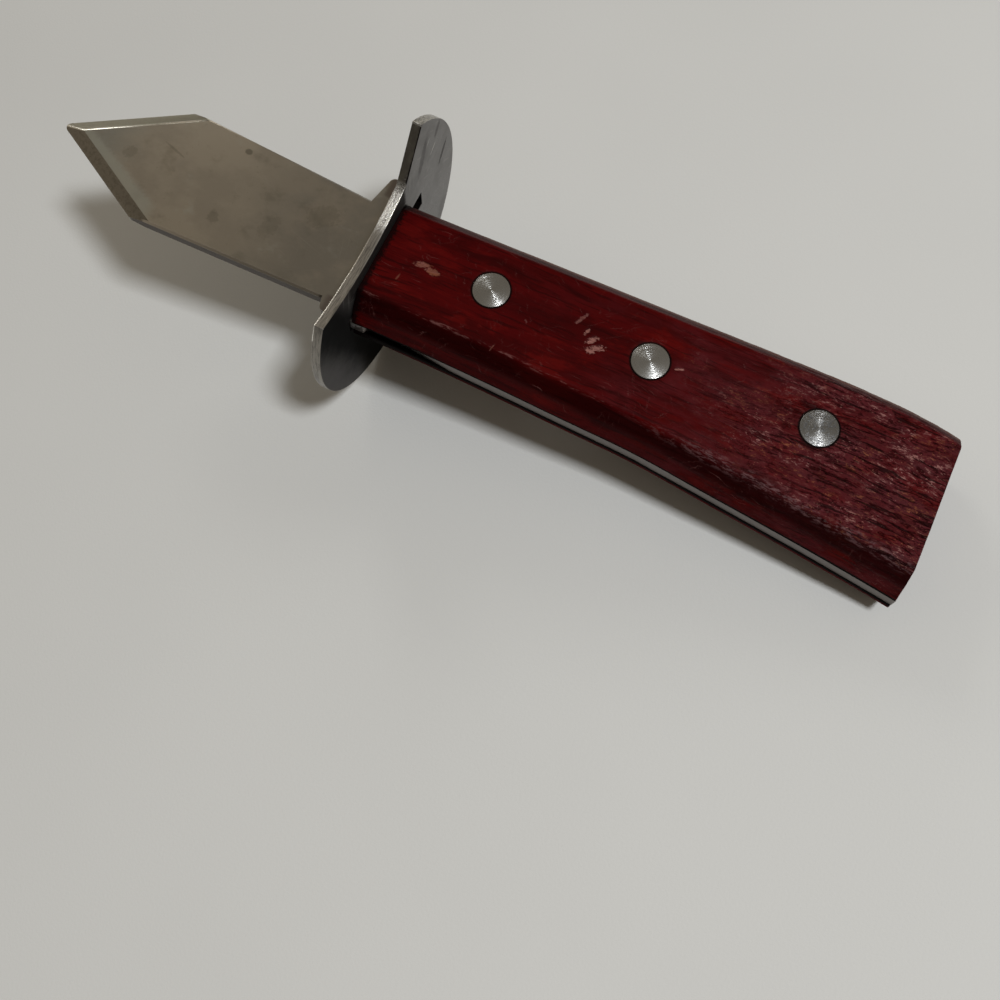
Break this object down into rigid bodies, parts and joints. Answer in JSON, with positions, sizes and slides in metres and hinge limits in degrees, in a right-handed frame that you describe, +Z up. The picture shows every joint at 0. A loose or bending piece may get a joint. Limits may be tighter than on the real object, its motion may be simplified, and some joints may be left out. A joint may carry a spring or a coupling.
{
  "type": "oyster knife",
  "caption": "Full-tang oyster knife with a short pointed blade, a disc guard cut off along one side, wooden scales and flush riveted heads.",
  "frame": {"origin": "centre of the resting knife's box, on the table that the guard's rim and the butt's lower edge touch", "axes": "+X along the knife towards the butt, +Y to the side that the guard's low corner points away from, +Z up from the table"},
  "size_m": [0.1693, 0.0522, 0.0467],
  "materials": {
    "blade_steel": "worn satin with stains and scratches",
    "guard_steel": "sheared and scratched plate",
    "handle_wood": "stained and oiled, worn open grain",
    "rivet_metal": "turned and ground flush"
  },
  "bodies": {
    "root": {"blade": "blade_steel", "guard": "guard_steel", "upper_scale": "handle_wood", "lower_scale": "handle_wood", "front_rivet_pin": "rivet_metal", "front_rivet_socket": "rivet_metal", "middle_rivet_pin": "rivet_metal", "middle_rivet_socket": "rivet_metal", "rear_rivet_pin": "rivet_metal", "rear_rivet_socket": "rivet_metal"}
  },
  "joints": []
}
